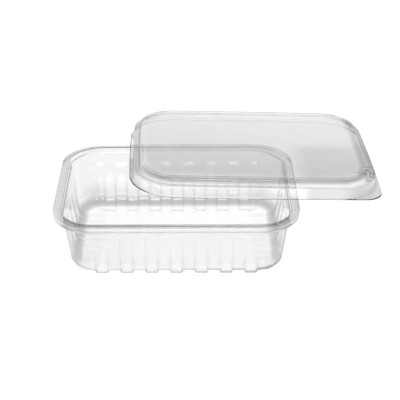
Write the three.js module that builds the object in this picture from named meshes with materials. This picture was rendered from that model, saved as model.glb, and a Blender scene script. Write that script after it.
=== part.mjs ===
import * as THREE from 'three';

// A clear takeaway tub with its loose domed lid lying across one corner of the rim.
// Millimetres, +Z up. Both pieces are thin thermoformed shells of one even thickness.

// Tub, driving dimensions
const RIM_LENGTH = 187;
const RIM_WIDTH = 137;
const RIM_CORNER = 31.5;
const TUB_HEIGHT = 50.2;
const FLANGE_WIDTH = 7;
const LIP_DROP = 5;
const WALL_SLOPE = 4.6;
const SHEET = 0.5;

// Rounding between the tub's walls and its floor, at the panels and at the ribs
const FLOOR_FILLET = 8.5;
const RIB_FILLET = 7.6;

// How far the wall's corners stand out near the top and are drawn in at the foot
const CORNER_FULLNESS = 1.6;
const CORNER_PULL = 0.8;

// Ribs and the recessed panels between them, equally wide, and the feet under the long sides' ribs
const RIB_WIDTH = 9.45;
const LONG_SIDE_RIBS = 7;
const SHORT_SIDE_RIBS = 3;
const LONG_PANEL_DEPTH = 1.2;
const SHORT_PANEL_DEPTH = 0.5;
const PANEL_TOP = 38.2;
const PANEL_LEDGE = 4;
const LONG_RIB_RAMP = 1.5;
const SHORT_RIB_RAMP = 4.5;
const LAST_PANEL_RAMP = 6;
const FOOT_STEP = 1.25;
const FOOT_FLAT = 3;
const FOOT_REACH = 9;

// Lid, driving dimensions
const LID_LENGTH = 195.3;
const LID_WIDTH = 145.9;
const LID_CORNER = 33.9;
const LID_BOW = 1.2;
const LID_RISE = 13.6;
const SKIRT_HEIGHT = 8.3;
const LID_LIP = 2.3;
const DOME_INSET = 7.4;
const BEAD_WIDTH = 5.8;
const BEAD_RISE = 0.8;
const TAB_CORNER = 14;

// Places along the lid's bowed sides, from their middles, where its facets are divided
const LID_SIDE_MARKS = [20, 45];
const LID_END_MARKS = [15];

// Where the lid lies: its middle from the tub's middle, and its turn and tilt in degrees
const LID_X = 60.3;
const LID_Y = 45.5;
const LID_YAW = 1.58;
const LID_TILT_X = -1.71;
const LID_TILT_Y = 2.05;
const RESTING_GAP = 0.3;

// The two places where the lid's lip crosses the rim's outer edge, in the tub's plan
const RESTS_AT = [
  new THREE.Vector2(-38, RIM_WIDTH / 2),
  new THREE.Vector2(RIM_LENGTH / 2, -26.6),
];

const CORNER_STEPS = 9;

const clearSheet = (tint) => new THREE.MeshStandardMaterial({
  color: tint,
  roughness: 0.08,
  metalness: 0,
  transparent: true,
  opacity: 0.35,
});

const smoothstep = THREE.MathUtils.smoothstep;

// One quarter of a rounded rectangle, from the middle of its +X side to that of its +Y side.
// sideMarks and endMarks are places along the long and the short side, from their middles, and
// those past the straight part wrap round the corner at bendRadius. bow pushes the sides' middles out.
function quarterOutline(length, width, corner, bendRadius, sideMarks, endMarks, bow = 0) {
  const centre = new THREE.Vector2(length / 2 - corner, width / 2 - corner);
  const stations = [];
  for (const mark of endMarks) {
    if (mark < centre.y) {
      stations.push({ x: length / 2, y: mark, angle: 0, end: mark, side: Infinity });
    }
  }
  const step = Math.PI / 2 / CORNER_STEPS;
  const wrapped = sideMarks.filter((mark) => mark > centre.x);
  const angles = wrapped.map((mark) => Math.PI / 2 - (mark - centre.x) / bendRadius);
  for (let i = 0; i <= CORNER_STEPS; i += 1) {
    const clear = angles.every((angle) => Math.abs(angle - i * step) > step / 2);
    if (clear) {
      angles.push(i * step);
    }
  }
  for (const angle of angles.sort((a, b) => a - b)) {
    stations.push({
      x: centre.x + corner * Math.cos(angle),
      y: centre.y + corner * Math.sin(angle),
      angle,
      end: centre.y + angle * bendRadius,
      side: centre.x + (Math.PI / 2 - angle) * bendRadius,
    });
  }
  for (const mark of sideMarks.filter((place) => place < centre.x).reverse()) {
    stations.push({ x: mark, y: width / 2, angle: Math.PI / 2, end: Infinity, side: mark });
  }
  return stations.map((station) => {
    const shareX = station.x / (length / 2);
    const shareY = station.y / (width / 2);
    return {
      ...station,
      x: station.x + bow * (1 - shareY ** 2) * shareX ** 4,
      y: station.y + bow * (1 - shareX ** 2) * shareY ** 4,
    };
  });
}

// The quarter mirrored into a whole outline, counter-clockwise, with an outward direction each.
function wholeOutline(quarter) {
  const mirrored = [];
  const quadrants = [[1, 1], [-1, 1], [-1, -1], [1, -1]];
  for (const [signX, signY] of quadrants) {
    const run = signX * signY > 0 ? quarter : [...quarter].reverse();
    for (const station of run) {
      mirrored.push({
        ...station,
        x: station.x * signX,
        y: station.y * signY,
        outX: Math.cos(station.angle) * signX,
        outY: Math.sin(station.angle) * signY,
        diagonal: Math.sin(2 * station.angle) ** 2,
        signX,
        signY,
      });
    }
  }
  return mirrored;
}

// A closed shell of even thickness round a middle surface, given as rings from its centre out.
function thickened(rings, centreHeight, thickness) {
  const count = rings[0].length;
  const direction = (from, to) => new THREE.Vector3().subVectors(to, from).normalize();
  const faceOut = (ring, index) => {
    const here = rings[ring][index];
    const along = new THREE.Vector3();
    if (ring > 0) {
      along.add(direction(rings[ring - 1][index], here));
    }
    if (ring < rings.length - 1) {
      along.add(direction(here, rings[ring + 1][index]));
    }
    const before = rings[ring][(index + count - 1) % count];
    const after = rings[ring][(index + 1) % count];
    const around = direction(before, here).add(direction(here, after));
    return along.cross(around).normalize();
  };
  const skin = (offset) => rings.map((ring, r) => ring.map(
    (point, index) => point.clone().addScaledVector(faceOut(r, index), offset),
  ));
  const strips = [...skin(-thickness / 2), ...skin(thickness / 2).reverse()];

  const positions = [];
  for (const strip of strips) {
    for (const point of strip) {
      positions.push(point.x, point.y, point.z);
    }
  }
  const lowerCentre = positions.length / 3;
  positions.push(0, 0, centreHeight - thickness / 2);
  const upperCentre = lowerCentre + 1;
  positions.push(0, 0, centreHeight + thickness / 2);

  const faces = [];
  const lastStrip = (strips.length - 1) * count;
  for (let j = 0; j < count; j += 1) {
    const next = (j + 1) % count;
    faces.push(lowerCentre, next, j);
    faces.push(upperCentre, lastStrip + j, lastStrip + next);
    for (let s = 0; s < strips.length - 1; s += 1) {
      const a = s * count + j;
      const b = s * count + next;
      const c = b + count;
      const d = a + count;
      faces.push(a, b, c, a, c, d);
    }
  }
  const geometry = new THREE.BufferGeometry();
  geometry.setAttribute('position', new THREE.Float32BufferAttribute(positions, 3));
  geometry.setIndex(faces);
  return geometry;
}

// Where the ramps between ribs and panels begin and end along one side, from its middle.
function rampMarks(ribs, ramp, lastRamp) {
  const marks = [];
  for (let k = 0; k <= ribs; k += 1) {
    const edge = (k + 0.5) * RIB_WIDTH;
    const half = (k === ribs ? lastRamp : ramp) / 2;
    marks.push(edge - half, edge + half);
  }
  return marks;
}

// How far a place is recessed (1 in a panel) and how far it is a rib, with ramps at the edges.
// Ribs and panels take turns, with a panel at each end that runs out into the corner.
function reliefAt(place, ribs, ramp, lastRamp) {
  const outerEdge = (ribs + 0.5) * RIB_WIDTH;
  if (place > outerEdge - RIB_WIDTH / 2) {
    return { panel: smoothstep(outerEdge + lastRamp / 2 - place, 0, lastRamp), rib: 0 };
  }
  const cell = Math.round(place / RIB_WIDTH);
  const fromEdge = RIB_WIDTH / 2 - Math.abs(place - cell * RIB_WIDTH);
  const inside = 0.5 + 0.5 * smoothstep(fromEdge, 0, ramp / 2);
  const panel = cell % 2 === 1 ? inside : 1 - inside;
  return { panel, rib: 1 - panel };
}

function tubStations() {
  const bendRadius = RIM_CORNER - FLANGE_WIDTH - WALL_SLOPE / 2;
  const quarter = quarterOutline(
    RIM_LENGTH,
    RIM_WIDTH,
    RIM_CORNER,
    bendRadius,
    rampMarks(LONG_SIDE_RIBS, LONG_RIB_RAMP, LAST_PANEL_RAMP),
    rampMarks(SHORT_SIDE_RIBS, SHORT_RIB_RAMP, SHORT_RIB_RAMP),
  );
  return wholeOutline(quarter).map((station) => {
    const onLong = reliefAt(station.side, LONG_SIDE_RIBS, LONG_RIB_RAMP, LAST_PANEL_RAMP);
    const onShort = reliefAt(station.end, SHORT_SIDE_RIBS, SHORT_RIB_RAMP, SHORT_RIB_RAMP);
    return {
      ...station,
      recess: Math.max(LONG_PANEL_DEPTH * onLong.panel, SHORT_PANEL_DEPTH * onShort.panel),
      foot: onLong.rib,
    };
  });
}

// The tub's middle surface: floor with its feet, fillet, ribbed wall, flange and down-turned lip.
function tubRings() {
  const stations = tubStations();
  const top = TUB_HEIGHT - SHEET / 2;
  const footLevel = SHEET / 2;
  const floorLevel = footLevel + FOOT_STEP;
  const wallFoot = FLANGE_WIDTH + WALL_SLOPE;
  const at = (station, inset, z) => new THREE.Vector3(
    station.x - station.outX * inset,
    station.y - station.outY * inset,
    z,
  );
  const ring = (place) => stations.map((station) => place(station));
  const standing = (station) => floorLevel - FOOT_STEP * station.foot;
  const fillet = (station) => FLOOR_FILLET + (RIB_FILLET - FLOOR_FILLET) * station.foot;
  const floorEdge = (station) => (
    wallFoot + station.recess + fillet(station) + CORNER_PULL * station.diagonal
  );
  const rings = [
    ring((s) => at(s, floorEdge(s) + FOOT_REACH, floorLevel)),
    ring((s) => at(s, floorEdge(s) + FOOT_FLAT, standing(s))),
  ];
  for (const degrees of [0, 30, 60, 90]) {
    const turn = THREE.MathUtils.degToRad(degrees);
    rings.push(ring((s) => at(
      s,
      floorEdge(s) - fillet(s) * Math.sin(turn),
      standing(s) + fillet(s) * (1 - Math.cos(turn)),
    )));
  }

  const wallHeights = [
    [24, 1],
    [PANEL_TOP - PANEL_LEDGE, 1],
    [PANEL_TOP - PANEL_LEDGE / 2, 0.5],
    [PANEL_TOP, 0],
    [top - 1.2, 0],
  ];
  for (const [height, relief] of wallHeights) {
    const down = (top - height) / (top - floorLevel - FLOOR_FILLET);
    const fullness = CORNER_FULLNESS * (1 - down) * smoothstep(top - height, 0, 10);
    const cornerShift = CORNER_PULL * down - fullness;
    rings.push(ring((s) => at(
      s,
      FLANGE_WIDTH + WALL_SLOPE * down + s.recess * relief + cornerShift * s.diagonal,
      height,
    )));
  }

  const flange = [
    [FLANGE_WIDTH - 0.35, top - 0.35],
    [FLANGE_WIDTH - 1.2, top],
    [1.2, top],
    [0.6, top - 0.35],
    [SHEET / 2, top - 1.2],
    [SHEET / 2, top + SHEET / 2 - LIP_DROP],
  ];
  for (const [inset, z] of flange) {
    rings.push(ring((s) => at(s, inset, z)));
  }
  return { rings, floorLevel };
}

function makeTub() {
  const { rings, floorLevel } = tubRings();
  const tub = new THREE.Mesh(thickened(rings, floorLevel, SHEET), clearSheet(0xeef2f3));
  tub.name = 'tub';
  return tub;
}

// How far the pull tab's sharp corner stands out past the lid's round one, in a given direction.
function tabReach(angle) {
  const offset = LID_CORNER - TAB_CORNER;
  const across = Math.cos(angle);
  const up = Math.sin(angle);
  if (LID_CORNER * up < offset * across) {
    return LID_CORNER / across - LID_CORNER;
  }
  if (LID_CORNER * across < offset * up) {
    return LID_CORNER / up - LID_CORNER;
  }
  const toCentre = offset * (across + up);
  const span = toCentre ** 2 - 2 * offset ** 2 + TAB_CORNER ** 2;
  return toCentre + Math.sqrt(span) - LID_CORNER;
}

// The lid's middle surface: panel, raised bead, dome wall, flange, skirt, and lip with its tab.
function lidRings() {
  const quarter = quarterOutline(
    LID_LENGTH,
    LID_WIDTH,
    LID_CORNER,
    LID_CORNER,
    LID_SIDE_MARKS,
    LID_END_MARKS,
    LID_BOW,
  );
  const stations = wholeOutline(quarter);
  const lipLevel = SHEET / 2;
  const crown = LID_RISE - SHEET / 2;
  const panelLevel = crown - BEAD_RISE;
  const bead = DOME_INSET + BEAD_WIDTH / 2;
  const profile = [
    [DOME_INSET + BEAD_WIDTH, panelLevel],
    [bead + 1.6, crown - 0.35],
    [bead + 0.4, crown],
    [bead - 1, crown],
    [DOME_INSET + 0.9, crown - 0.5],
    [DOME_INSET + 0.3, crown - 1.6],
    [DOME_INSET - 0.4, SKIRT_HEIGHT + 0.6],
    [DOME_INSET - 1.2, SKIRT_HEIGHT - SHEET / 2],
    [LID_LIP + 1.5, SKIRT_HEIGHT - SHEET / 2],
    [LID_LIP + 0.7, SKIRT_HEIGHT - 0.7],
    [LID_LIP + 0.4, SKIRT_HEIGHT - 1.6],
    [LID_LIP, lipLevel + 0.5],
    [LID_LIP - 0.5, lipLevel],
    [0, lipLevel],
  ];
  const rings = profile.map(([inset, z], level) => stations.map((station) => {
    const onLip = level === profile.length - 1;
    const tabCorner = station.signX > 0 && station.signY < 0;
    const reach = onLip && tabCorner ? tabReach(station.angle) : 0;
    return new THREE.Vector3(
      station.x - station.outX * (inset - reach),
      station.y - station.outY * (inset - reach),
      z,
    );
  }));
  return { rings, panelLevel };
}

// The height at which the tilted lid's underside clears the rim by the resting gap.
function lidHeight(turn) {
  const normal = new THREE.Vector3(0, 0, 1).applyEuler(turn);
  const drops = RESTS_AT.map((rest) => (
    ((rest.x - LID_X) * normal.x + (rest.y - LID_Y) * normal.y) / normal.z
  ));
  return TUB_HEIGHT + RESTING_GAP + Math.max(...drops);
}

function makeLid() {
  const { rings, panelLevel } = lidRings();
  const lid = new THREE.Mesh(thickened(rings, panelLevel, SHEET), clearSheet(0xe9eef0));
  lid.name = 'lid';
  lid.rotation.set(
    THREE.MathUtils.degToRad(LID_TILT_X),
    THREE.MathUtils.degToRad(LID_TILT_Y),
    THREE.MathUtils.degToRad(LID_YAW),
    'ZXY',
  );
  lid.position.set(LID_X, LID_Y, lidHeight(lid.rotation));
  return lid;
}

// The origin is at the middle of the base of the box that holds both pieces.
const container = new THREE.Group();
container.add(makeTub(), makeLid());
container.updateMatrixWorld(true);
const outer = new THREE.Box3().setFromObject(container, true);
container.position.set(
  -(outer.min.x + outer.max.x) / 2,
  -(outer.min.y + outer.max.y) / 2,
  -outer.min.z,
);
container.updateMatrixWorld(true);

export default container;
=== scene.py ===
"""A clear takeaway tub with its loose domed lid lying across one corner of the rim.

Lengths are written in millimetres and turned into metres where a mesh is made. A tone is the
sheet's colour, from 0 to 1: how much light it lets through, with painted shade and painted
highlights laid into it, and four tones in a row stand for front, right, back and left, each side
painted darker or lighter as the light falls on it. A pair of numbers that ease or ramp is given
says where a change starts and where it ends.
"""
import math

import bpy
import numpy as np
from mathutils import Matrix, Vector


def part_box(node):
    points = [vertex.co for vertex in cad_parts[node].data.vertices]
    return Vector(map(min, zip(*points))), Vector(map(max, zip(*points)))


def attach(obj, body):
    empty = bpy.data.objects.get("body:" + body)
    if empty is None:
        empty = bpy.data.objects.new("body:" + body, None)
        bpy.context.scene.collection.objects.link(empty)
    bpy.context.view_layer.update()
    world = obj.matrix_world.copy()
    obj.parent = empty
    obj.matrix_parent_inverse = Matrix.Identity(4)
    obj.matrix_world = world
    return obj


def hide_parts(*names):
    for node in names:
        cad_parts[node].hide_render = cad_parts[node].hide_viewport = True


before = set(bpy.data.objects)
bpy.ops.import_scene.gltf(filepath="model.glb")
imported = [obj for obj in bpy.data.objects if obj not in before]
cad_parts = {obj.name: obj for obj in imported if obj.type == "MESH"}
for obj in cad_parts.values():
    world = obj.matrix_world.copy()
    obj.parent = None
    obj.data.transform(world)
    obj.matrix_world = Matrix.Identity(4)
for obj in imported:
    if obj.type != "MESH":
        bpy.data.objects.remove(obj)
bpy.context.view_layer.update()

MM = 0.001
QUARTER_TURN = math.pi / 2

# Tub; its corners draw in towards the foot and are fuller halfway down
RIM_LENGTH = 187.0
RIM_WIDTH = 137.0
RIM_CORNER = 31.5
TUB_HEIGHT = 50.2
FLANGE_WIDTH = 7.0
FLANGE_FALL = 0.15
RIM_RADIUS = 0.8
LIP_DROP = 5.0
WALL_SLOPE = 4.6
FLOOR_FILLET = 8.5
RIB_FILLET = 7.6
CORNER_PULL = 0.8
CORNER_FULLNESS = 1.6
FULLNESS_DROP = 10.0

# The small ledge between the wall and the flange of the tub
LEDGE_DROP = 2.6
LEDGE_WIDTH = 0.7
LEDGE_RISE = 0.35
LEDGE_LEAN = 0.1
LEDGE_RADIUS = 0.3
WALL_END_INSET = 0.05
WALL_END_DROP = 0.7

# Ribs, panels and feet of the tub
RIB_WIDTH = 9.45
LONG_SIDE_RIBS = 7
SHORT_SIDE_RIBS = 3
LONG_PANEL_DEPTH = 1.2
SHORT_PANEL_DEPTH = 0.5
PANEL_TOP = 38.2
PANEL_LEDGE = 4.0
LAST_PANEL_FADE = 4.0
RIB_RAMP = 1.5
SHORT_RIB_RAMP = 4.5
BACK_RAMP_GAIN = 1.5
BACK_RAMP_HEIGHT = (14.0, 22.0)
FOOT_RAMP = 2.0
FOOT_STEP = 1.25
FOOT_FLAT = 3.0
FOOT_REACH = 9.0

# Lid
LID_LENGTH = 195.3
LID_WIDTH = 145.9
LID_CORNER = 33.9
LID_BOW = 1.2
LID_RISE = 13.6
SKIRT_HEIGHT = 8.3
SKIRT_LEAN = 0.8
LID_LIP = 2.3
LIP_TURN = 0.6
DOME_INSET = 7.4
DOME_TOP_LEAN = 0.7
DOME_FOOT_LEAN = 0.4
BEAD_WIDTH = 5.8
BEAD_RISE = 0.8
BEAD_TOP = 1.2
TAB_CORNER = 14.0

# Roundings of the lid's profile, from the panel out to the lip
BEAD_FOOT_RADIUS = 1.6
BEAD_RADIUS = 1.2
DOME_RADIUS = 2.0
DOME_FOOT_RADIUS = 0.9
SKIRT_RADIUS = 1.0
LIP_RADIUS = 0.7

# How the lid lies on the tub: its middle from the tub's middle, its turn and its tilt
LID_PLACE = (60.3, 45.5)
LID_YAW = math.radians(1.58)
LID_TILT_X = math.radians(-1.71)
LID_TILT_Y = math.radians(2.05)
RESTING_GAP = 0.3
RESTS_AT = ((-38.0, RIM_WIDTH / 2), (RIM_LENGTH / 2, -26.6))

# Sheet; its last rings thin out to a share of its thickness, and its edge is rounded
SHEET = 0.5
LIP_TAPER = 0.35
EDGE_TURNS = (-math.pi / 4, 0.0, math.pi / 4)

# Fineness of the meshes: stations along the outlines and how far apart they keep, then rings
# from the middle out, given as distances, as numbers of rings or as shares of the way
CORNER_STEPS = 36
CELL_STOPS = (0.0, 0.28, 0.5, 0.66, 0.76, 0.84, 0.92, 1.0)
CORNER_CLEARANCE = 0.2
TURN_CLEARANCE = 0.02
STOP_CLEARANCE = 0.6
AHEAD_HINT = 0.1
LID_STEP = 2.0
INNERMOST_RADIUS = 0.4
CENTRE_SHARES = (0.04, 0.2, 0.4, 0.6, 0.8, 0.92)
FLOOR_RINGS = 22
FLOOR_END_SHARE = 0.04
FILLET_RINGS = 15
LOW_WALL_RINGS = 14
HIGH_WALL_RINGS = 6
PANEL_END_STEP = 0.4
PANEL_END_MARGIN = 3.0
RING_CLEARANCE = 1.0
RING_GAP = 0.8
LID_PANEL_START = 4.0
LID_PANEL_RINGS = 24
LID_PANEL_SHARES = (0.04, 0.96)
LIP_SHARES = (0.2, 0.4, 0.6, 0.8, 1.0)

# Camera, from the middle of the tub at rim height
CAMERA_PLACE = (8.44, -768.7, 420.1)
CAMERA_YAW = math.radians(0.736)
CAMERA_PITCH = math.radians(29.51)
CAMERA_ROLL = math.radians(0.176)
LENS = 100.4
SENSOR = 36.0
CLIP_METRES = (0.05, 50.0)
BOUNCES = 24

# Tones of the tub, holding painted shade: each part is painted darker or lighter on each side as
# the light falls on it, darkest in a band along the fillets at the back and sides, and darker at
# the foot of the back wall
FLOOR_TONE = 1.0
FILLET_TONES = (0.94, 0.5, 0.5, 0.5)
WALL_FOOT_TONES = (0.88, 0.88, 0.68, 0.88)
WALL_TONES = (0.88, 0.9, 0.8, 0.85)
RIM_TONES = (0.84, 0.68, 0.55, 0.7)
LEDGE_TONES = (0.8, 0.9, 0.8, 0.82)
LIP_TONES = (1.0, 0.6, 1.0, 0.75)
WALL_TONE_RISE = 12.0
LEDGE_TONE_INSET = (FLANGE_WIDTH - 1.2, FLANGE_WIDTH - 0.6)
LIP_TONE_INSET = (1.8, 0.9)

# Shares of painted shade on the tub: at its front corners, over the left of its front rim and
# along rib edges
CORNER_SHADE = 0.06
CORNER_SHADE_FACING = (0.4, 0.85)
CORNER_SHADE_END = (28.0, 40.0)
FRONT_GAIN = 1.4
RIM_SHADE = 0.28
RIM_SHADE_X = (20.0, -40.0)
LIP_CORNER_SHADE = 0.35
RIB_LINE = 0.06
RIB_LINE_HEIGHT = (24.0, 14.0)

# The painted dark line along the foot of the front wall, painted shade where the fillet is seen
# edge on from in front: its strength, with what the right, the right corner and each rib add, and
# where it lies on the fillet
FOOT_LINE = 0.2
FOOT_LINE_RIGHT = 0.3
FOOT_LINE_RIGHT_X = (-20.0, 70.0)
FOOT_LINE_CORNER = 0.42
FOOT_LINE_CORNER_X = (55.0, 75.0)
FOOT_LINE_RIB = 0.15
FOOT_LINE_GAIN = 2.0
FOOT_LINE_TURN = math.radians(29.51)
FOOT_LINE_WIDTH = 0.5
LEAST_FACING = 0.05

# The part of the tub that lies under the lid, where its wall and rim are painted paler, and
# painted highlights in dashes where its back panels end under the lid, standing in for the soft
# light's reflection on their top ledges
COVERED_X = (-42.0, -32.0)
COVERED_Y = (-28.0, -16.0)
COVERED_WALL_TONE = 0.89
COVERED_RIM_TONE = 0.95
HIGHLIGHT_DASH_HEIGHT = 37.0
HIGHLIGHT_DASH_WIDTH = 1.0
HIGHLIGHT_DASH_INSIDE = (0.5, 3.0)

# Tones of the lid's panel, with painted shade in its front right quarter and a paler painted
# reflection along its back
PANEL_TONE = 0.71
PANEL_FRONT_RIGHT_TONE = 0.59
PANEL_FRONT_Y = (5.0, -14.0)
PANEL_RIGHT_X = (25.0, 45.0)
PANEL_BACK_GAINS = ((0.08, (48.0, 58.0)), (0.2, (59.0, 64.0)))

# Tones of the lid's bead, dome wall, skirt, lip and tab, holding painted shade: each side is
# painted darker or lighter as the light falls on it, the bead darkest in a band at the front and
# right, the back right paler, and the lip and tab darker towards the right
BEAD_TONES = (0.41, 0.45, 1.0, 0.6)
DARK_BAND_FOOT = 10.0
BEAD_REACH = 1.0
BEAD_REACH_RIGHT = 7.5
BEAD_REACH_FACING = (0.5, 0.9)
DOME_WALL_TONES = (0.84, 0.45, 1.0, 0.6)
SKIRT_TONES = (1.0, 0.55, 1.0, 0.62)
SKIRT_TONE_INSET = (LID_LIP + 1.5, LID_LIP + 0.9)
BACK_RIGHT_TONE = 0.6
BACK_RIGHT_Y = (-10.0, 20.0)
BACK_RIGHT_FACING = (0.6, 0.0)
LIP_RIGHT_SHADE = 0.4
TAB_TONE = 0.68

# Painted shade on the front of the skirt past the tub, darker in two steps: tone, place along X
# and front gain
SKIRT_PAST_TUB = ((0.71, (30.0, 42.0), 1.0), (0.57, (62.0, 80.0), 1.6))

# A painted highlight on the left of the skirt where the snap lug is, and painted shade in dark
# streaks at the tab's corner
LUG_ENDS = (-8.0, 33.0)
LUG_FADE = 3.0
LUG_HIGHLIGHT_TONE = 0.9
LEFT_FACING = -0.9
STREAKS = (0.14, 0.38, 0.62)
STREAK_WIDTH = 0.05
STREAK_SHADE = 0.45

# Painted shade where the sheet is seen edge on: how much light passes there, least on the right,
# where the room is dim
TUB_EDGE_SHADE_TONES = (0.45, 0.08, 0.5, 0.5)
INNER_EDGE_TONE = 0.95
INNER_EDGE_Y = (-48.0, -32.0)
LID_EDGE_SHADE_TONES = (1.0, 0.35, 0.8, 0.4)
FLAT_EDGE_TONE = 0.7
FLAT_REACH = 0.82

# Finish of the sheet, and over which facing weights it counts as seen edge on and takes its
# painted edge shade
ROUGHNESS = 0.02
REFRACTIVE_INDEX = 1.5
UNEVENNESS = 0.04
UNEVEN_SCALE = 60.0
UNEVEN_DETAIL = 2.0
EDGE_ON = (0.57, 0.82)

# Floor: how far it lies below the feet, how brightly it glows and how far it reaches
FLOOR_GAP = 0.3
FLOOR_GLOW = 1.15
FLOOR_REACH = 6000.0
FLOOR_ROUGHNESS = 0.9

# Studio: how bright it is by direction, as parts of a length of one, and its soft light
BACKDROP_TOP = (0.358, 0.429)
ABOVE_BRIGHTNESS = 0.08
FRONT_SPAN = (-0.3, 0.1)
FRONT_BRIGHTNESS = 0.5
RIGHT_SPAN = (0.2, 0.8)
RIGHT_BRIGHTNESS = 0.4
SOFT_LIGHT = 5.0
SOFT_LIGHT_AIM = (0.0, -0.89, 0.45)
SOFT_LIGHT_SPREAD = (0.956, 0.982)


def tub_middle():
    """The tub's own middle on the ground, in millimetres, from its solid's box."""
    low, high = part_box("tub")
    return ((low[0] + high[0]) / 2 / MM, (low[1] + high[1]) / 2 / MM)


def smooth(value):
    """0 below 0, 1 above 1 and an even S between."""
    t = np.clip(value, 0.0, 1.0)
    return t * t * (3.0 - 2.0 * t)


def ease(value, start, end):
    """0 short of start, 1 past end and an even S between. The end may be the lower of the two."""
    return smooth((value - start) / (end - start))


def over_edge(inside, width):
    """0 to 1 over a ramp of that width, centred on an edge, from the distance inside the edge."""
    return smooth(inside / width + 0.5)


def bump(distance, width):
    """1 at distance 0, fading out on both sides of it."""
    return np.exp(-(distance / width) ** 2)


def blend(first, second, share):
    """The first value at share 0 and the second at share 1."""
    return first + (second - first) * share


def unit(vectors):
    """Vectors of length one."""
    return vectors / np.maximum(np.linalg.norm(vectors, axis=-1, keepdims=True), 1e-9)


def rib_stops(ribs, reach):
    """Places for stations along a half side, close together where a rib meets a panel."""
    half = RIB_WIDTH / 2
    ends = [
        cell * RIB_WIDTH + side * half * stop
        for cell in range(ribs + 1) for side in (-1, 1) for stop in CELL_STOPS
    ]
    return np.unique([round(end, 3) for end in ends if 0 <= end < reach])


def merged_stops(close, even):
    """The close stops, and those of an even row that are well clear of them."""
    gap = np.diff(even).mean() * STOP_CLEARANCE
    kept = [stop for stop in even if len(close) == 0 or np.min(np.abs(close - stop)) > gap]
    return np.unique(np.concatenate([close, kept]))


class Outline:
    """A rounded rectangle walked once, counter-clockwise, as arrays with one entry a station.

    end and side say how far a station is from the middle of the nearest short and long side.
    Round the corner they are measured on an arc of radius bend. The sides bow out in the middle.
    out_x and out_y point straight out, and ahead points along the walk.
    """

    def __init__(self, length, width, corner, bend, end_stops, side_stops, bow=0.0):
        half = np.array([length / 2, width / 2])
        centre = half - corner
        ends = end_stops[end_stops < centre[1] - CORNER_CLEARANCE]
        sides = side_stops[side_stops < centre[0] - CORNER_CLEARANCE][::-1]
        around = side_stops[side_stops >= centre[0] + CORNER_CLEARANCE]
        close = QUARTER_TURN - (around - centre[0]) / bend
        close = close[close > TURN_CLEARANCE]
        turns = merged_stops(close, np.linspace(0, QUARTER_TURN, CORNER_STEPS + 1))
        at_ends = np.ones(len(ends))
        at_sides = np.ones(len(sides))
        x = np.concatenate([at_ends * half[0], centre[0] + corner * np.cos(turns), sides])
        y = np.concatenate([ends, centre[1] + corner * np.sin(turns), at_sides * half[1]])
        angle = np.concatenate([at_ends * 0.0, turns, at_sides * QUARTER_TURN])
        far = 1e6
        end = np.concatenate([ends, centre[1] + turns * bend, at_sides * far])
        corner_sides = centre[0] + (QUARTER_TURN - turns) * bend
        side = np.concatenate([at_ends * far, corner_sides, sides])
        share_x = x / half[0]
        share_y = y / half[1]
        x = x + bow * (1 - share_y ** 2) * share_x ** 4
        y = y + bow * (1 - share_x ** 2) * share_y ** 4
        quarters = []
        for sign_x, sign_y in ((1, 1), (-1, 1), (-1, -1), (1, -1)):
            forward = sign_x * sign_y > 0
            order = slice(None, -1) if forward else slice(None, 0, -1)
            quarters.append([
                x[order] * sign_x,
                y[order] * sign_y,
                np.cos(angle[order]) * sign_x,
                np.sin(angle[order]) * sign_y,
                angle[order],
                end[order],
                side[order],
                np.full(len(x) - 1, sign_x),
                np.full(len(x) - 1, sign_y),
            ])
        joined = [np.concatenate(column) for column in zip(*quarters)]
        self.x, self.y, self.out_x, self.out_y = joined[:4]
        self.angle, self.end, self.side, self.sign_x, self.sign_y = joined[4:]
        self.diagonal = np.sin(2 * self.angle) ** 2
        self.ahead = np.stack([-self.out_y, self.out_x, np.zeros(len(self.x))], axis=1)

    def ring(self, inset, height):
        """The outline drawn in by inset at a height, each a number or one value a station."""
        return np.stack([
            self.x - self.out_x * inset,
            self.y - self.out_y * inset,
            np.zeros(len(self.x)) + height,
        ], axis=1)


def by_side(line, values):
    """A value a station from those for front, right, back and left, blended round the corners."""
    front, right, back, left = values
    side = np.where(line.out_x > 0, right, left)
    return side + (front - side) * smooth(-line.out_y) + (back - side) * smooth(line.out_y)


def rounded_line(points, steps=5):
    """A line through points (inset, height, radius), rounded off at each bend in steps pieces."""
    line = [np.array(points[0][:2])]
    for before, here, after in zip(points, points[1:], points[2:]):
        corner = np.array(here[:2])
        back = unit(np.array(before[:2]) - corner)
        ahead = unit(np.array(after[:2]) - corner)
        turn = math.pi - math.acos(float(np.clip(back @ ahead, -1, 1)))
        reach = here[2] * math.tan(turn / 2)
        start = corner + back * reach
        finish = corner + ahead * reach
        for i in range(steps + 1):
            t = i / steps
            line.append((1 - t) ** 2 * start + 2 * t * (1 - t) * corner + t * t * finish)
    line.append(np.array(points[-1][:2]))
    return line


def sheet_points(outline, rings, thinning):
    """A sheet round its middle surface, as strips of points and the centres of its two faces.

    The strips run out below the middle surface, round the sheet's edge and back in above it.
    """
    surface = np.stack(rings)
    steps = unit(np.diff(surface, axis=0))
    along = np.concatenate([steps[:1], unit(steps[1:] + steps[:-1]), steps[-1:]])
    across = np.roll(surface, -1, axis=1) - np.roll(surface, 1, axis=1)
    # The stations nearly meet in the middle, where a hint of the outline's direction steadies them
    across = unit(across + AHEAD_HINT * outline.ahead)
    normal = unit(np.cross(along, across))
    half = SHEET / 2
    thin = half * LIP_TAPER
    halves = np.full((len(rings), 1, 1), half)
    halves[-thinning:, 0, 0] = np.linspace(half, thin, thinning + 1)[1:]
    lower = surface - normal * halves
    upper = surface + normal * halves
    edge = [
        surface[-1] + thin * (math.sin(turn) * normal[-1] + math.cos(turn) * along[-1])
        for turn in EDGE_TURNS
    ]
    strips = np.concatenate([lower, np.stack(edge), upper[::-1]])
    middle = surface[0].mean(axis=0)
    up = normal[0].mean(axis=0) * half
    return strips, [middle - up, middle + up]


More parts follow.
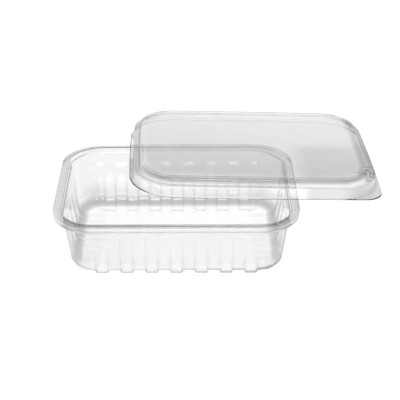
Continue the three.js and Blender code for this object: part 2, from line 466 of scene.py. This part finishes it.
def sheet_faces(total, count):
    """Quads between total strips of count points, and triangles round the two centres."""
    here = np.arange(count)
    following = (here + 1) % count
    rows = np.arange(total - 1)[:, None] * count
    corners = (rows + here, rows + following, rows + count + following, rows + count + here)
    quads = np.stack(corners, axis=-1).reshape(-1, 4)
    last = (total - 1) * count
    centre = np.full(count, total * count)
    bottom = np.stack([centre, following, here], axis=-1)
    top = np.stack([centre + 1, last + here, last + following], axis=-1)
    return quads.tolist() + bottom.tolist() + top.tolist()


def paint(mesh, label, values):
    """Keeps one value a ring and station as an attribute, for both faces and the edge between."""
    edge = np.repeat(values[-1:], len(EDGE_TURNS), axis=0)
    strips = np.concatenate([values, edge, values[::-1]])
    painted = np.concatenate([strips.reshape(-1), [values[0].mean()] * 2])
    layer = mesh.attributes.new(label, "FLOAT", "POINT")
    layer.data.foreach_set("value", painted.astype(np.float32))


def sheet_object(name, outline, rings, tones, edges, thinning=1):
    """A closed sheet round a middle surface given as rings from the centre out.

    It is of even thickness, and thins out over its last rings, thinning of them. tones are its
    colour at each place, how much light passes with painted shade and highlights laid in, and
    edges its painted shade where it is seen edge on. They are kept as the attributes tone and
    outline.
    """
    strips, centres = sheet_points(outline, rings, thinning)
    points = np.concatenate([strips.reshape(-1, 3), centres])
    mesh = bpy.data.meshes.new(name)
    mesh.from_pydata((points * MM).tolist(), [], sheet_faces(*strips.shape[:2]))
    mesh.update()
    mesh.shade_smooth()
    paint(mesh, "tone", tones)
    paint(mesh, "outline", edges)
    piece = bpy.data.objects.new(name, mesh)
    bpy.context.scene.collection.objects.link(piece)
    return piece


def relief_masks(ribs, place, last):
    """For one side: distance inside the nearest panel and inside the nearest rib.

    The last panel runs out into the corner over last times the width of the other ramps.
    """
    outer = (ribs + 0.5) * RIB_WIDTH
    cell = np.round(place / RIB_WIDTH)
    inside = RIB_WIDTH / 2 - np.abs(place - cell * RIB_WIDTH)
    in_panel = (cell % 2 == 1) & (cell <= ribs)
    in_rib = (cell % 2 == 0) & (cell < ribs)
    panel = np.where(in_panel, inside, -inside)
    rib = np.where(in_rib, inside, -inside)
    panel = np.where(place > outer - RIB_WIDTH / 2, (outer - place) / last, panel)
    rib = np.where(place > outer - RIB_WIDTH, outer - RIB_WIDTH - place, rib)
    return panel, rib


def inside_end(across, down):
    """Distance inside a strip's end, from that inside its side and that inside its end line."""
    outside = np.hypot(np.minimum(across, 0.0), np.minimum(down, 0.0))
    return np.maximum(np.minimum(across, down), 0.0) - outside


class TubShape:
    """The tub from its floor's middle out. Each part is rows of a ring, its tone and edge tone."""

    def __init__(self):
        bend = RIM_CORNER - FLANGE_WIDTH - WALL_SLOPE / 2
        end_stops = rib_stops(SHORT_SIDE_RIBS, RIM_WIDTH)
        side_stops = rib_stops(LONG_SIDE_RIBS, RIM_LENGTH)
        line = Outline(RIM_LENGTH, RIM_WIDTH, RIM_CORNER, bend, end_stops, side_stops)
        long_panel, long_rib = relief_masks(LONG_SIDE_RIBS, line.side, LAST_PANEL_FADE)
        # Distances in the short sides' panels are scaled, so that one ramp width serves all panels
        short_panel = relief_masks(SHORT_SIDE_RIBS, line.end, 1.0)[0] * RIB_RAMP / SHORT_RIB_RAMP
        self.line = line
        self.on_long = long_panel > short_panel
        self.panel = np.where(self.on_long, long_panel, short_panel)
        self.panel_depth = np.where(self.on_long, LONG_PANEL_DEPTH, SHORT_PANEL_DEPTH)
        self.on_rib = over_edge(long_rib, FOOT_RAMP)
        self.rib_edge = bump(self.panel, RIB_RAMP)
        self.radius = blend(FLOOR_FILLET, RIB_FILLET, self.on_rib)
        self.top = TUB_HEIGHT - SHEET / 2
        self.wall_top = self.top - LEDGE_DROP
        self.floor_level = SHEET / 2 + FOOT_STEP
        relief = self.panel_depth * over_edge(self.panel, RIB_RAMP)
        wall_foot = FLANGE_WIDTH + WALL_SLOPE + relief
        self.floor_edge = wall_foot + self.radius + CORNER_PULL * line.diagonal
        # Painted shade: tones by side at the foot of the wall, paler tones under the lid, and the
        # shade of edges seen edge on
        self.foot_tone = by_side(line, WALL_FOOT_TONES)
        self.covered = ease(line.x, *COVERED_X) * ease(line.y, *COVERED_Y)
        self.edge_tone = by_side(line, TUB_EDGE_SHADE_TONES)
        self.inner_edge_tone = blend(self.edge_tone, INNER_EDGE_TONE, ease(line.y, *INNER_EDGE_Y))

    def floor_height(self, reach):
        """The floor's height a reach in from its edge, with a foot under each long side's rib."""
        return self.floor_level - FOOT_STEP * self.on_rib * ease(reach, FOOT_REACH, FOOT_FLAT)

    def floor(self):
        """The floor with its feet."""
        innermost = RIM_CORNER - INNERMOST_RADIUS
        inner = self.line.ring(innermost, self.floor_level)
        centre = np.array([0.0, 0.0, self.floor_level])
        rings = [blend(centre, inner, share) for share in CENTRE_SHARES]
        rows = [(ring, FLOOR_TONE, FLAT_EDGE_TONE) for ring in rings]
        tone = FLOOR_TONE * (1 - RIB_LINE * self.rib_edge)
        for share in np.linspace(1, FLOOR_END_SHARE, FLOOR_RINGS):
            reach = share * (innermost - self.floor_edge)
            ring = self.line.ring(self.floor_edge + reach, self.floor_height(reach))
            rows.append((ring, tone, FLAT_EDGE_TONE))
        return rows

    def foot_line(self):
        """How dark the painted shade line along the foot of the front wall is, and where it is on
        the fillet.
        """
        line = self.line
        strength = (
            FOOT_LINE
            + FOOT_LINE_RIGHT * ease(line.x, *FOOT_LINE_RIGHT_X)
            + FOOT_LINE_CORNER * ease(line.x, *FOOT_LINE_CORNER_X)
            + FOOT_LINE_RIB * self.on_rib
        )
        facing = np.maximum(-line.out_y, LEAST_FACING)
        place = np.arctan2(math.tan(FOOT_LINE_TURN), facing)
        return strength * smooth(-line.out_y * FOOT_LINE_GAIN), place

    def fillet(self):
        """The rounding from the floor up to the walls."""
        standing = self.floor_height(0.0)
        fillet_tone = by_side(self.line, FILLET_TONES)
        strength, place = self.foot_line()
        rows = []
        for turn in np.linspace(0, QUARTER_TURN, FILLET_RINGS):
            inset = self.floor_edge - self.radius * np.sin(turn)
            height = standing + self.radius * (1 - np.cos(turn))
            # Painted shade: the fillet is darker than floor and wall across its middle, and
            # carries the painted dark line along the foot and painted shade along rib edges
            tone = blend(FLOOR_TONE, self.foot_tone, turn / QUARTER_TURN)
            tone = blend(tone, fillet_tone, math.sin(turn * 2))
            tone = tone * (1 - strength * bump(turn - place, FOOT_LINE_WIDTH))
            tone = tone * (1 - RIB_LINE * self.rib_edge)
            rows.append((self.line.ring(inset, height), tone, self.inner_edge_tone))
        return rows

    def recess(self, height):
        """How far the panels are sunk in at a height. Their edges are softer high on the back."""
        softer = BACK_RAMP_GAIN * ease(height, *BACK_RAMP_HEIGHT) * smooth(self.line.out_y)
        ramp_width = RIB_RAMP * (1 + softer)
        below_end = (PANEL_TOP - height - PANEL_LEDGE / 2) * ramp_width / PANEL_LEDGE
        return self.panel_depth * over_edge(inside_end(self.panel, below_end), ramp_width)

    def wall(self):
        """The walls with their panels, up to the ledge."""
        line = self.line
        start = self.floor_level + FLOOR_FILLET + RING_CLEARANCE
        panel_end = PANEL_TOP - PANEL_END_MARGIN - PANEL_LEDGE
        plain_start = PANEL_TOP + 2 * RING_CLEARANCE
        heights = np.concatenate([
            np.linspace(start, panel_end - RING_GAP, LOW_WALL_RINGS),
            np.arange(panel_end, PANEL_TOP + RING_CLEARANCE, PANEL_END_STEP),
            np.linspace(plain_start, self.wall_top - RING_GAP, HIGH_WALL_RINGS),
        ])
        # Painted shade: tones by side, paler under the lid, darker at the front corners and along
        # rib edges
        wall_tone = blend(by_side(line, WALL_TONES), COVERED_WALL_TONE, self.covered)
        corner = ease(np.abs(line.out_x), *CORNER_SHADE_FACING) * ease(line.end, *CORNER_SHADE_END)
        corner_tone = 1 - CORNER_SHADE * corner * (line.sign_y < 0)
        # Painted highlights: light dashes where the back panels end under the lid
        in_panel = ease(self.panel, *HIGHLIGHT_DASH_INSIDE) * self.on_long * self.covered
        rows = []
        for height in heights:
            below = self.top - height
            down = below / (self.top - self.floor_level - FLOOR_FILLET)
            fullness = CORNER_FULLNESS * (1 - down) * smooth(below / FULLNESS_DROP)
            corner_shift = (CORNER_PULL * down - fullness) * line.diagonal
            inset = FLANGE_WIDTH + WALL_SLOPE * down + corner_shift + self.recess(height)
            tone = blend(self.foot_tone, wall_tone, smooth((height - start) / WALL_TONE_RISE))
            rib_line = RIB_LINE * self.rib_edge * ease(height, *RIB_LINE_HEIGHT)
            highlight_dash = in_panel * bump(height - HIGHLIGHT_DASH_HEIGHT, HIGHLIGHT_DASH_WIDTH)
            tone = blend(tone * corner_tone * (1 - rib_line), 1.0, highlight_dash)
            rows.append((line.ring(inset, height), tone, self.inner_edge_tone))
        return rows

    def rim(self):
        """The ledge, the flange and the lip turned down round it."""
        line = self.line
        ledge_inset = FLANGE_WIDTH + WALL_SLOPE * LEDGE_DROP / self.top
        profile = rounded_line([
            (ledge_inset + WALL_END_INSET, self.wall_top - WALL_END_DROP, 0.0),
            (ledge_inset, self.wall_top, LEDGE_RADIUS),
            (ledge_inset - LEDGE_WIDTH, self.wall_top + LEDGE_RISE, LEDGE_RADIUS),
            (FLANGE_WIDTH - LEDGE_WIDTH - LEDGE_LEAN, self.top, RIM_RADIUS),
            (SHEET / 2, self.top - FLANGE_FALL, RIM_RADIUS),
            (SHEET / 2, TUB_HEIGHT - LIP_DROP + SHEET / 2, 0.0),
        ])
        # Painted shade on the rim and lip: darker at the front corners and over the left of the
        # front, paler under the lid
        front = smooth(-line.out_y * FRONT_GAIN)
        shaded = np.maximum(line.diagonal * front, front * ease(line.x, *RIM_SHADE_X))
        rim_tone = by_side(line, RIM_TONES) * (1 - RIM_SHADE * shaded)
        rim_tone = blend(rim_tone, COVERED_RIM_TONE, self.covered)
        ledge_tone = by_side(line, LEDGE_TONES)
        lip_tone = by_side(line, LIP_TONES) * (1 - LIP_CORNER_SHADE * line.diagonal * front)
        lip_tone = blend(lip_tone, COVERED_RIM_TONE, self.covered)
        rows = []
        for inset, height in profile:
            tone = blend(rim_tone, ledge_tone, ease(inset, *LEDGE_TONE_INSET))
            tone = blend(tone, lip_tone, ease(inset, *LIP_TONE_INSET))
            edge = INNER_EDGE_TONE if inset > FLANGE_WIDTH / 2 else self.edge_tone
            rows.append((line.ring(inset, height), tone, edge))
        return rows


def tub_rings():
    """The tub's outline, its middle surface, and its sheet's tones flat on and edge on."""
    tub = TubShape()
    rings, tones, edges = zip(*tub.floor(), *tub.fillet(), *tub.wall(), *tub.rim())
    stations = np.zeros(len(tub.line.x))
    tones = np.stack([stations + tone for tone in tones])
    edges = np.stack([stations + edge for edge in edges])
    return tub.line, rings, tones, edges


def tab_reach(angle):
    """How far the pull tab's sharp corner stands out past the lid's round one."""
    offset = LID_CORNER - TAB_CORNER
    across = np.maximum(np.cos(angle), 1e-6)
    up = np.maximum(np.sin(angle), 1e-6)
    to_centre = offset * (across + up)
    span = np.maximum(to_centre ** 2 - 2 * offset ** 2 + TAB_CORNER ** 2, 0.0)
    round_part = to_centre + np.sqrt(span)
    reach = np.where(LID_CORNER * up < offset * across, LID_CORNER / across, round_part)
    reach = np.where(LID_CORNER * across < offset * up, LID_CORNER / up, reach)
    return reach - LID_CORNER


def panel_tone(points):
    """The tone of the lid's panel, with its painted shade and reflection, at points in the lid's
    own frame.
    """
    x, y = points[:, 0], points[:, 1]
    front_right = ease(y, *PANEL_FRONT_Y) * ease(x, *PANEL_RIGHT_X)
    tone = blend(PANEL_TONE, PANEL_FRONT_RIGHT_TONE, front_right)
    return tone + sum(gain * ease(y, *span) for gain, span in PANEL_BACK_GAINS)


def dome_tones(line, at_tab):
    """The tones of the lid's bead, dome wall and skirt, with their painted shade and highlight."""
    skirt = by_side(line, SKIRT_TONES)
    for tone, span, gain in SKIRT_PAST_TUB:
        skirt = blend(skirt, tone, ease(line.x, *span) * smooth(-line.out_y * gain))
    # Painted highlight on the left of the skirt, where the snap lug is
    from_front = smooth((line.y - LUG_ENDS[0]) / LUG_FADE)
    from_back = smooth((LUG_ENDS[1] - line.y) / LUG_FADE)
    skirt = blend(skirt, LUG_HIGHLIGHT_TONE, from_front * from_back * (line.out_x < LEFT_FACING))
    # Painted paler at the back right of the bead and dome wall
    paler = ease(line.y, *BACK_RIGHT_Y) * smooth(line.out_x) * ease(line.out_y, *BACK_RIGHT_FACING)
    bead = blend(by_side(line, BEAD_TONES), BACK_RIGHT_TONE, paler)
    wall = blend(by_side(line, DOME_WALL_TONES), BACK_RIGHT_TONE, paler)
    # Painted shade: dark streaks at the tab's corner
    for streak in STREAKS:
        darker = 1 - STREAK_SHADE * bump(line.angle - streak, STREAK_WIDTH) * at_tab
        bead = bead * darker
        wall = wall * darker
    return bead, wall, skirt


def lid_rings():
    """The lid's outline, its middle surface in its own frame, and its tones as the tub's."""
    end_stops = np.arange(0, LID_WIDTH / 2 - LID_CORNER, LID_STEP)
    side_stops = np.arange(0, LID_LENGTH / 2 - LID_CORNER, LID_STEP)
    line = Outline(LID_LENGTH, LID_WIDTH, LID_CORNER, LID_CORNER, end_stops, side_stops, LID_BOW)
    at_tab = (line.sign_x > 0) & (line.sign_y < 0)
    lip_level = SHEET / 2
    crown = LID_RISE - SHEET / 2
    panel_level = crown - BEAD_RISE
    shoulder = SKIRT_HEIGHT - SHEET / 2
    profile = rounded_line([
        (DOME_INSET + BEAD_WIDTH + LID_PANEL_START, panel_level, 0.0),
        (DOME_INSET + BEAD_WIDTH, panel_level, BEAD_FOOT_RADIUS),
        (DOME_INSET + BEAD_WIDTH / 2 + BEAD_TOP, crown, BEAD_RADIUS),
        (DOME_INSET + DOME_TOP_LEAN, crown, DOME_RADIUS),
        (DOME_INSET - DOME_FOOT_LEAN, shoulder, DOME_FOOT_RADIUS),
        (LID_LIP + SKIRT_LEAN, shoulder, SKIRT_RADIUS),
        (LID_LIP, lip_level, LIP_RADIUS),
        (LIP_TURN, lip_level, 0.0),
    ])

    first = line.ring(*profile[0])
    centre = np.array([0.0, 0.0, panel_level])
    shares = np.linspace(*LID_PANEL_SHARES, LID_PANEL_RINGS)
    rings = [blend(centre, first, share) for share in shares]
    tones = [panel_tone(ring) for ring in rings]

    bead_tone, dome_tone, skirt_tone = dome_tones(line, at_tab)
    bead_end = DOME_INSET + BEAD_REACH + BEAD_REACH_RIGHT * ease(line.out_x, *BEAD_REACH_FACING)
    for inset, height in profile:
        rings.append(line.ring(inset, height))
        tone = blend(dome_tone, skirt_tone, ease(inset, *SKIRT_TONE_INSET))
        tone = blend(tone, bead_tone, smooth(height - DARK_BAND_FOOT))
        tones.append(blend(tone, panel_tone(rings[-1]), smooth(inset - bead_end)))

    reach = np.where(at_tab, tab_reach(line.angle), 0.0)
    # Painted shade on the lip towards the right, and on the tab
    lip_tone = np.maximum(skirt_tone, 1.0 - LIP_RIGHT_SHADE * smooth(line.out_x))
    lip_tone = np.where(at_tab & (line.diagonal > 0), TAB_TONE, lip_tone)
    for share in LIP_SHARES:
        rings.append(line.ring(LIP_TURN * (1 - share) - reach * share, lip_level))
        tones.append(lip_tone)

    # Painted edge shade: by side, and one tone over the flat middle
    from_middle = np.linalg.norm(np.stack(rings)[:, :, :2], axis=2)
    flat = from_middle < FLAT_REACH * np.hypot(line.x, line.y)
    edges = np.where(flat, FLAT_EDGE_TONE, by_side(line, LID_EDGE_SHADE_TONES))
    return line, rings, np.stack(tones), edges


def lid_matrix():
    """Where the lid lies, in the tub's frame, its lip clear of the rim by the resting gap."""
    turn = (
        Matrix.Rotation(LID_YAW, 3, "Z")
        @ Matrix.Rotation(LID_TILT_X, 3, "X")
        @ Matrix.Rotation(LID_TILT_Y, 3, "Y")
    )
    normal = turn @ Vector((0, 0, 1))
    drops = [
        ((x - LID_PLACE[0]) * normal.x + (y - LID_PLACE[1]) * normal.y) / normal.z
        for x, y in RESTS_AT
    ]
    height = TUB_HEIGHT + RESTING_GAP + max(drops)
    return turn, np.array([LID_PLACE[0], LID_PLACE[1], height])


def feed(links, socket, value):
    """Gives a socket its value, a number or another socket."""
    if isinstance(value, (int, float)):
        socket.default_value = value
    else:
        links.new(value, socket)


def calculate(nodes, links, operation, first, second):
    """A Math node on two values, each a number or a socket."""
    node = nodes.new("ShaderNodeMath")
    node.operation = operation
    feed(links, node.inputs[0], first)
    feed(links, node.inputs[1], second)
    return node.outputs[0]


def ramp(nodes, links, value, span, at_start, at_end):
    """A smooth step over a span of value from one result to another."""
    node = nodes.new("ShaderNodeMapRange")
    node.interpolation_type = "SMOOTHSTEP"
    feed(links, node.inputs["Value"], value)
    feed(links, node.inputs["From Min"], span[0])
    feed(links, node.inputs["From Max"], span[1])
    feed(links, node.inputs["To Min"], at_start)
    feed(links, node.inputs["To Max"], at_end)
    return node.outputs["Result"]


def grey(value):
    """A neutral colour."""
    return (value, value, value, 1.0)


def sheet_tone_group():
    """What passes the sheet: its painted tone, with painted shade and highlights in it, a little
    uneven as drawn sheet is, and its painted edge shade.
    """
    group = bpy.data.node_groups.new("sheet_tone", "ShaderNodeTree")
    face = group.interface
    for label in ("Unevenness", "Scale"):
        face.new_socket(label, in_out="INPUT", socket_type="NodeSocketFloat")
    face.new_socket("Tone", in_out="OUTPUT", socket_type="NodeSocketColor")
    face.new_socket("Edge", in_out="OUTPUT", socket_type="NodeSocketFloat")
    nodes = group.nodes
    links = group.links
    given = nodes.new("NodeGroupInput")
    result = nodes.new("NodeGroupOutput")
    painted = nodes.new("ShaderNodeAttribute")
    painted.attribute_name = "tone"
    place = nodes.new("ShaderNodeTexCoord")
    clouds = nodes.new("ShaderNodeTexNoise")
    clouds.inputs["Detail"].default_value = UNEVEN_DETAIL
    links.new(place.outputs["Object"], clouds.inputs["Vector"])
    links.new(given.outputs["Scale"], clouds.inputs["Scale"])
    centred = calculate(nodes, links, "SUBTRACT", clouds.outputs["Fac"], 0.5)
    uneven = calculate(nodes, links, "MULTIPLY", centred, given.outputs["Unevenness"])
    tone = calculate(nodes, links, "ADD", painted.outputs["Fac"], uneven)
    links.new(tone, result.inputs["Tone"])
    outline = nodes.new("ShaderNodeAttribute")
    outline.attribute_name = "outline"
    links.new(outline.outputs["Fac"], result.inputs["Edge"])
    return group


def clear_sheet(name, group):
    """Clear plastic sheet, glassy, with painted shade where it is seen edge on."""
    material = bpy.data.materials.new(name)
    material.use_nodes = True
    nodes = material.node_tree.nodes
    links = material.node_tree.links
    shader = nodes["Principled BSDF"]
    shader.inputs["Transmission Weight"].default_value = 1.0
    shader.inputs["Metallic"].default_value = 0.0
    shader.inputs["Roughness"].default_value = ROUGHNESS
    shader.inputs["IOR"].default_value = REFRACTIVE_INDEX
    tone = nodes.new("ShaderNodeGroup")
    tone.node_tree = group
    tone.inputs["Unevenness"].default_value = UNEVENNESS
    tone.inputs["Scale"].default_value = UNEVEN_SCALE
    facing = nodes.new("ShaderNodeLayerWeight")
    facing.inputs["Blend"].default_value = 0.5
    edge = ramp(nodes, links, facing.outputs["Facing"], EDGE_ON, 1.0, tone.outputs["Edge"])
    colour = nodes.new("ShaderNodeMix")
    colour.data_type = "RGBA"
    colour.blend_type = "MULTIPLY"
    colour.inputs["Factor"].default_value = 1.0
    links.new(tone.outputs["Tone"], colour.inputs["A"])
    links.new(edge, colour.inputs["B"])
    links.new(colour.outputs["Result"], shader.inputs["Base Color"])
    return material


def make_tub(middle, group):
    """The ribbed tub, standing on its feet."""
    line, rings, tones, edges = tub_rings()
    offset = np.array([middle[0], middle[1], 0.0])
    piece = sheet_object("clear_tub", line, [ring + offset for ring in rings], tones, edges)
    piece.data.materials.append(clear_sheet("tub_sheet", group))
    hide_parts("tub")
    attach(piece, "root")


def make_lid(middle, group):
    """The domed lid, lying across the tub's back right corner. Its lip and tab thin out."""
    line, rings, tones, edges = lid_rings()
    turn, place = lid_matrix()
    offset = place + np.array([middle[0], middle[1], 0.0])
    turned = [ring @ np.array(turn).T + offset for ring in rings]
    line.ahead = line.ahead @ np.array(turn).T
    piece = sheet_object("clear_lid", line, turned, tones, edges, thinning=len(LIP_SHARES))
    piece.data.materials.append(clear_sheet("lid_sheet", group))
    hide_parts("lid")
    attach(piece, "root")


def make_floor():
    """A plain white floor that glows evenly, as a lit table does, so that it takes no shadow."""
    mesh = bpy.data.meshes.new("floor")
    reach = FLOOR_REACH * MM
    level = -FLOOR_GAP * MM
    corners = [(x * reach, y * reach, level) for x, y in ((-1, -1), (1, -1), (1, 1), (-1, 1))]
    mesh.from_pydata(corners, [], [(0, 1, 2, 3)])
    floor = bpy.data.objects.new("floor", mesh)
    bpy.context.scene.collection.objects.link(floor)
    material = bpy.data.materials.new("pale_floor")
    material.use_nodes = True
    shader = material.node_tree.nodes["Principled BSDF"]
    shader.inputs["Base Color"].default_value = grey(0.0)
    shader.inputs["Roughness"].default_value = FLOOR_ROUGHNESS
    shader.inputs["Specular IOR Level"].default_value = 0.0
    shader.inputs["Emission Color"].default_value = grey(1.0)
    shader.inputs["Emission Strength"].default_value = FLOOR_GLOW
    mesh.materials.append(material)


def make_light():
    """A studio: a white backdrop up to eye level, a dim room above, in front and to the right,
    and one large soft light in front, a little above eye level."""
    world = bpy.data.worlds.new("studio")
    world.use_nodes = True
    nodes = world.node_tree.nodes
    links = world.node_tree.links
    place = nodes.new("ShaderNodeTexCoord")
    split = nodes.new("ShaderNodeSeparateXYZ")
    links.new(place.outputs["Generated"], split.inputs[0])
    right, back, up = split.outputs
    backdrop = ramp(nodes, links, up, BACKDROP_TOP, 1.0, ABOVE_BRIGHTNESS)
    front = ramp(nodes, links, back, FRONT_SPAN, FRONT_BRIGHTNESS, 1.0)
    side = ramp(nodes, links, right, RIGHT_SPAN, 1.0, RIGHT_BRIGHTNESS)
    room = calculate(nodes, links, "MULTIPLY", backdrop, front)
    room = calculate(nodes, links, "MULTIPLY", room, side)
    aim = nodes.new("ShaderNodeVectorMath")
    aim.operation = "DOT_PRODUCT"
    links.new(place.outputs["Generated"], aim.inputs[0])
    aim.inputs[1].default_value = unit(np.array(SOFT_LIGHT_AIM))
    soft = ramp(nodes, links, aim.outputs["Value"], SOFT_LIGHT_SPREAD, 0.0, SOFT_LIGHT)
    total = calculate(nodes, links, "ADD", room, soft)
    links.new(total, nodes["Background"].inputs["Strength"])
    nodes["Background"].inputs["Color"].default_value = grey(1.0)
    bpy.context.scene.world = world


def make_camera(middle):
    """The photograph's view."""
    data = bpy.data.cameras.new("camera")
    data.lens = LENS
    data.sensor_width = SENSOR
    data.clip_start, data.clip_end = CLIP_METRES
    camera = bpy.data.objects.new("camera", data)
    bpy.context.scene.collection.objects.link(camera)
    turn = (
        Matrix.Rotation(-CAMERA_YAW, 3, "Z")
        @ Matrix.Rotation(QUARTER_TURN - CAMERA_PITCH, 3, "X")
        @ Matrix.Rotation(CAMERA_ROLL, 3, "Z")
    )
    place = Vector((
        middle[0] + CAMERA_PLACE[0],
        middle[1] + CAMERA_PLACE[1],
        TUB_HEIGHT + CAMERA_PLACE[2],
    )) * MM
    camera.matrix_world = Matrix.Translation(place) @ turn.to_4x4()
    bpy.context.scene.camera = camera


def set_render():
    """Enough bounces for light to cross every sheet, and plain colours."""
    scene = bpy.context.scene
    scene.cycles.max_bounces = BOUNCES
    scene.cycles.transmission_bounces = BOUNCES
    scene.cycles.transparent_max_bounces = BOUNCES
    scene.view_settings.view_transform = "Standard"


middle = tub_middle()
make_camera(middle)
make_light()
make_floor()
sheet_tones = sheet_tone_group()
make_tub(middle, sheet_tones)
make_lid(middle, sheet_tones)
set_render()
